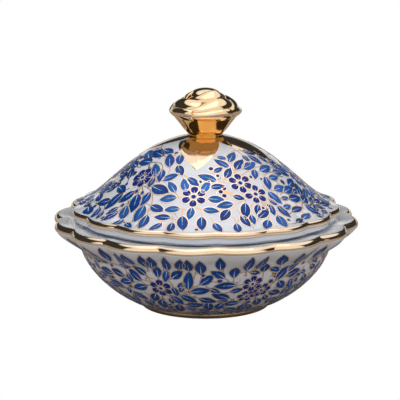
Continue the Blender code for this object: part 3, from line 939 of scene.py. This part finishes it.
def gilt_leaf(side, degrees_round, lean, surface):
    """A pointed leaf of gold laid over the dome from the foot of the knob."""
    edge = bezier(LEAF_EDGE, 30)
    side_steps = np.linspace(-1.0, 1.0, 17)[None, :]
    reach = edge[:, 1][:, None]
    x = np.minimum(edge[:, 0][:, None], reach * 0.97) * side_steps
    x = x + lean * MM * np.clip(1.35 - reach / (34.0 * MM), 0.0, 1.0) * (reach > 12.0 * MM)
    along = np.interp(np.hypot(x, reach), surface.table[:, 0], surface.along)
    rib = 1.0 + 0.25 * np.exp(-(side_steps / 0.10) ** 2)
    lift = LEAF_LIFT * (1.0 - np.abs(side_steps) ** 8) * rib + 0.02 * MM
    grid = surface.at(radians(degrees_round) + np.arctan2(x, reach), along, lift)
    leaf = new_object("gold_leaf_" + side, grid, grid_faces(*grid.shape[:2], False), RIM_GOLD)
    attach(leaf, "lid")
    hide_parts("leaf_gilding_" + side)


def make_gilt_leaves():
    surface = Surface(dome_line(), lid_share, LID_LOBE_DEPTH)
    for side, (degrees_round, lean) in LEAF_NODES.items():
        gilt_leaf(side, degrees_round, lean, surface)


# The knob, as runs and curves of (radius, height) in millimetres.
CUP_CURVE = (
    (13.4, 114.6), (11.9, 115.3), (11.5, 116.3), (14.3, 119.5), (17.4, 123.6), (20.7, 127.8),
    (22.8, 130.2))
CUP_INSIDE = ((21.0, 130.6), (14.0, 129.0), (6.0, 128.5), (0.0, 128.5))
CUP_FLATS = 11
CUP_FLAT_DEPTH = 1.5
CUP_FLATS_FROM = 116.0 * MM
CUP_FLATS_RISE = 14.0 * MM
OUTER_PETAL = ((19.4, 127.2), (22.4, 129.2), (27.4, 131.6), (22.4, 135.4))
MIDDLE_PETAL = ((17.0, 130.5), (24.0, 132.5), (22.4, 137.8), (14.6, 140.0))
INNER_PETAL = ((11.0, 135.0), (17.2, 138.0), (14.2, 143.2), (7.6, 144.9))
BUD_CURVE = (
    (0.0, 147.0), (4.4, 146.5), (8.2, 145.0), (10.6, 142.4), (12.0, 137.0), (10.0, 131.0),
    (0.0, 131.0))

# For each tier of petals: how many, name, outline, span in degrees, the drop of the corners as a
# share of the height, and by how many millimetres the right side stands out and rises.
PETAL_TIERS = (
    (5, "outer", OUTER_PETAL, 88.0, 0.16, 0.7, 0.5),
    (4, "middle", MIDDLE_PETAL, 128.0, 0.10, -1.7, 2.6),
    (3, "inner", INNER_PETAL, 172.0, 0.12, 0.7, 2.0))
PETAL_ROWS = 9
PETAL_COLUMNS = 15
PETAL_THICKNESS = 1.5 * MM


def smooth_run(points, count):
    """A rounded curve through a few section points given in millimetres."""
    points = np.array(points) * MM
    ends = np.vstack([2 * points[0] - points[1], points, 2 * points[-1] - points[-2]])
    out = []
    for a, b, c, d in zip(ends, ends[1:], ends[2:], ends[3:]):
        for t in np.linspace(0.0, 1.0, count, endpoint=False):
            out.append(0.5 * (2 * b + (c - a) * t + (2 * a - 5 * b + 4 * c - d) * t * t
                              + (3 * b - a - 3 * c + d) * t ** 3))
    return np.vstack([out, points[-1:]])


def knob_part(obj, node):
    """Hangs a piece of the rose on the lid and hides the CAD part that it replaces."""
    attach(obj, "lid")
    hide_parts(node)


def make_cup():
    """Neck and cup, thumbed into soft flats like the base of a hand-built rose."""
    outside = smooth_run(CUP_CURVE, 8)
    run = np.vstack([path((0.0, 114.6 * MM)), outside, smooth_run(CUP_INSIDE, 4)])
    azimuths = np.linspace(0.0, 2.0 * pi, 96, endpoint=False)
    height = (run[:, 1] - CUP_FLATS_FROM) / CUP_FLATS_RISE
    dent = np.clip(height, 0.0, 1.0)[:, None] * (run[:, 0] > MM)[:, None]
    flats = CUP_FLAT_DEPTH * np.abs(np.sin(CUP_FLATS / 2 * azimuths + 0.6))
    flats = flats + 0.25 * np.sin(3.0 * azimuths + 1.0)
    radius = run[:, 0][:, None] - dent * flats[None, :] * MM
    grid = around(radius, azimuths, run[:, 1][:, None])
    faces = grid_faces(len(run), len(azimuths), True)
    # The cup takes the deeper orange gold, a painted reflection of the gilt below it.
    cup = new_object("rose_cup", grid, faces, CUP_GOLD_PAINTED_REFLECTION, weld=WELD)
    knob_part(cup, "knob_cup")


def rose_petal(node, curve, span, drop, overlap, slant, seed):
    """A curled petal: wraps round the rose, one side tucked under its neighbour."""
    rng = Random(seed)
    low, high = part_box(node)
    middle = atan2(low.x + high.x, -(low.y + high.y))
    line = bezier(curve, PETAL_ROWS)
    u = np.linspace(-1.0, 1.0, PETAL_COLUMNS)[None, :]
    v = np.linspace(0.0, 1.0, PETAL_ROWS)[:, None]
    ruffle = rng.uniform(0.9, 1.3) * MM * np.sin(2.6 * u + rng.uniform(0.0, 6.0)) * v ** 2
    tall = line[-1, 1] - line[0, 1]
    tucked = 0.9 * MM * np.abs(u) ** 4 * v
    dropped = drop * tall * np.abs(u) ** 2.5 * v
    radius = line[:, 0][:, None] + overlap * u * MM + 0.5 * ruffle - tucked
    height = line[:, 1][:, None] + ruffle + slant * MM * u * v - dropped
    azimuth = middle + radians(span) / 2.0 * u
    grid = around(radius, azimuth, height)
    faces = grid_faces(PETAL_ROWS, PETAL_COLUMNS, False)
    petal = new_object("rose_" + node, grid, faces, KNOB_GOLD)
    thick = petal.modifiers.new("thickness", "SOLIDIFY")
    thick.thickness = PETAL_THICKNESS
    thick.offset = -1.0
    smooth = petal.modifiers.new("smooth", "SUBSURF")
    smooth.levels = smooth.render_levels = 2
    knob_part(petal, node)


def make_knob():
    make_cup()
    for count, tier, *shape in PETAL_TIERS:
        for k in range(count):
            rose_petal(f"petal_{tier}_{k + 1}", *shape, 20 + k + len(tier) * 7)
    bud = turned_object("rose_heart", with_share(smooth_run(BUD_CURVE, 6), 0.0), 0.0, KNOB_GOLD)
    knob_part(bud, "rose_bud")


# ---- camera, light and floor

# The aim is off the centre by millimetres, up and to the left.
CAMERA_AZIMUTH = radians(6.85)
CAMERA_ELEVATION = radians(12.4)
CAMERA_DISTANCE = 1.344
CAMERA_CENTRE = Vector((0.0, 0.0, 56.5 * MM))
AIM_UP = 14.1
AIM_LEFT = 3.6
LENS = 180.0
SENSOR_WIDTH = 36.0

# Strengths in the studio: what is mirrored, and the even light.
FRONT_BOX = 0.95
OVERHEAD = 1.02
BACKDROP = 0.75
FLAG = 0.035
EVEN_LIGHT = 0.93
LOW_FILL = 1.0

LAMP_PLACE = (0.05, -0.10, 0.9)
LAMP_AIM = (0.0, 0.0, 0.06)
LAMP_SIZE = 0.7
LAMP_POWER = 0.8

FLOOR_HALF = 6.0
FLOOR_COLOUR = (0.42, 0.38, 0.34, 1.0)


def turned_to(direction):
    """Rotation that points a camera or a lamp along a direction."""
    return direction.to_track_quat("-Z", "Y").to_euler()


def make_camera():
    azimuth, elevation = CAMERA_AZIMUTH, CAMERA_ELEVATION
    back = Vector((sin(azimuth) * cos(elevation), -cos(azimuth) * cos(elevation), sin(elevation)))
    right = Vector((cos(azimuth), sin(azimuth), 0.0))
    up = back.cross(right)
    place = CAMERA_CENTRE + back * CAMERA_DISTANCE
    aim = CAMERA_CENTRE + up * AIM_UP * MM - right * AIM_LEFT * MM
    camera = bpy.data.objects.new("camera", bpy.data.cameras.new("camera"))
    camera.data.lens = LENS
    camera.data.sensor_width = SENSOR_WIDTH
    camera.location = place
    camera.rotation_euler = turned_to(aim - place)
    bpy.context.scene.collection.objects.link(camera)
    bpy.context.scene.camera = camera


def component(nodes, links, source, direction):
    """How far one direction points along another, from 0 to 1."""
    dot = nodes.new("ShaderNodeVectorMath")
    dot.operation = "DOT_PRODUCT"
    dot.inputs[1].default_value = direction
    links.new(source, dot.inputs[0])
    half = nodes.new("ShaderNodeMath")
    half.operation = "MULTIPLY_ADD"
    half.inputs[1].default_value = 0.5
    half.inputs[2].default_value = 0.5
    links.new(dot.outputs["Value"], half.inputs[0])
    return half.outputs["Value"]


def make_world():
    """A studio: the camera sees white, glossy surfaces mirror soft boxes and dark flags, and an
    even light, a little stronger from above and in front, does the rest."""
    world = bpy.data.worlds.new("studio")
    bpy.context.scene.world = world
    world.use_nodes = True
    nodes, links = world.node_tree.nodes, world.node_tree.links
    nodes.clear()
    place = nodes.new("ShaderNodeTexCoord").outputs["Generated"]
    front = component(nodes, links, place, (sin(radians(12.0)), -cos(radians(12.0)), 0.0))
    upward = component(nodes, links, place, (0.0, 0.0, 1.0))
    front_box = ramp(nodes, links, front, ((0.64, FLAG), (0.71, FRONT_BOX)))
    front_level = ramp(nodes, links, upward, ((0.34, 0.2), (0.44, 1.0)))
    backdrop = ramp(nodes, links, front, ((0.06, BACKDROP), (0.14, 0.0)))
    back_level = ramp(nodes, links, upward, ((0.40, 0.0), (0.46, 1.0), (0.55, 1.0), (0.60, 0.0)))
    above = component(nodes, links, place, (0.14, 0.10, 0.985))
    overhead = ramp(nodes, links, above, ((0.835, 0.0), (0.865, OVERHEAD)))
    mirrored = mixed(nodes, links, "MULTIPLY", front_box, front_level)
    behind = mixed(nodes, links, "MULTIPLY", backdrop, back_level)
    mirrored = mixed(nodes, links, "LIGHTEN", mirrored, behind)
    mirrored = mixed(nodes, links, "LIGHTEN", mirrored, overhead)
    from_above = ramp(nodes, links, upward, ((0.45, LOW_FILL), (0.75, 1.0), (1.0, 1.15)))
    from_front = ramp(nodes, links, front, ((0.1, 0.62), (0.9, 1.0)))
    soft = mixed(nodes, links, "MULTIPLY", from_above, from_front)
    rays = nodes.new("ShaderNodeLightPath")
    kinds = nodes.new("ShaderNodeMixShader")
    links.new(rays.outputs["Is Glossy Ray"], kinds.inputs["Fac"])
    for slot, colour, strength in ((1, soft, EVEN_LIGHT), (2, mirrored, 1.0)):
        light = nodes.new("ShaderNodeBackground")
        light.inputs["Strength"].default_value = strength
        links.new(colour, light.inputs["Color"])
        links.new(light.outputs["Background"], kinds.inputs[slot])
    seen = nodes.new("ShaderNodeBackground")
    seen.inputs["Color"].default_value = (1.0, 1.0, 1.0, 1.0)
    pick = nodes.new("ShaderNodeMixShader")
    links.new(rays.outputs["Is Camera Ray"], pick.inputs["Fac"])
    links.new(kinds.outputs["Shader"], pick.inputs[1])
    links.new(seen.outputs["Background"], pick.inputs[2])
    out = nodes.new("ShaderNodeOutputWorld")
    links.new(pick.outputs["Shader"], out.inputs["Surface"])


def make_lamp():
    """A square soft lamp over the dish."""
    data = bpy.data.lights.new("overhead", "AREA")
    data.shape = "RECTANGLE"
    data.size = LAMP_SIZE
    data.size_y = LAMP_SIZE
    data.energy = LAMP_POWER
    light = bpy.data.objects.new("overhead", data)
    light.location = LAMP_PLACE
    light.rotation_euler = turned_to(Vector(LAMP_AIM) - Vector(LAMP_PLACE))
    bpy.context.scene.collection.objects.link(light)


def make_floor():
    """A floor that the camera sees as plain white, and that lights the dish as a darker one."""
    signs = ((-1, -1), (1, -1), (1, 1), (-1, 1))
    corners = [(x * FLOOR_HALF, y * FLOOR_HALF, 0.0) for x, y in signs]
    material, nodes, links, shader = new_material("pale_floor")
    shader.inputs["Base Color"].default_value = FLOOR_COLOUR
    shader.inputs["Roughness"].default_value = 0.9
    white = nodes.new("ShaderNodeEmission")
    rays = nodes.new("ShaderNodeLightPath")
    pick = nodes.new("ShaderNodeMixShader")
    links.new(rays.outputs["Is Camera Ray"], pick.inputs["Fac"])
    links.new(shader.outputs["BSDF"], pick.inputs[1])
    links.new(white.outputs["Emission"], pick.inputs[2])
    links.new(pick.outputs["Shader"], nodes["Material Output"].inputs["Surface"])
    new_object("floor", corners, [(0, 1, 2, 3)], material)


make_bowl()
make_lid()
make_gilt_bands()
make_gilt_leaves()
make_knob()
decorate_lid()
decorate_bowl()
make_camera()
make_world()
make_floor()
make_lamp()

bpy.context.scene.view_settings.view_transform = "Standard"
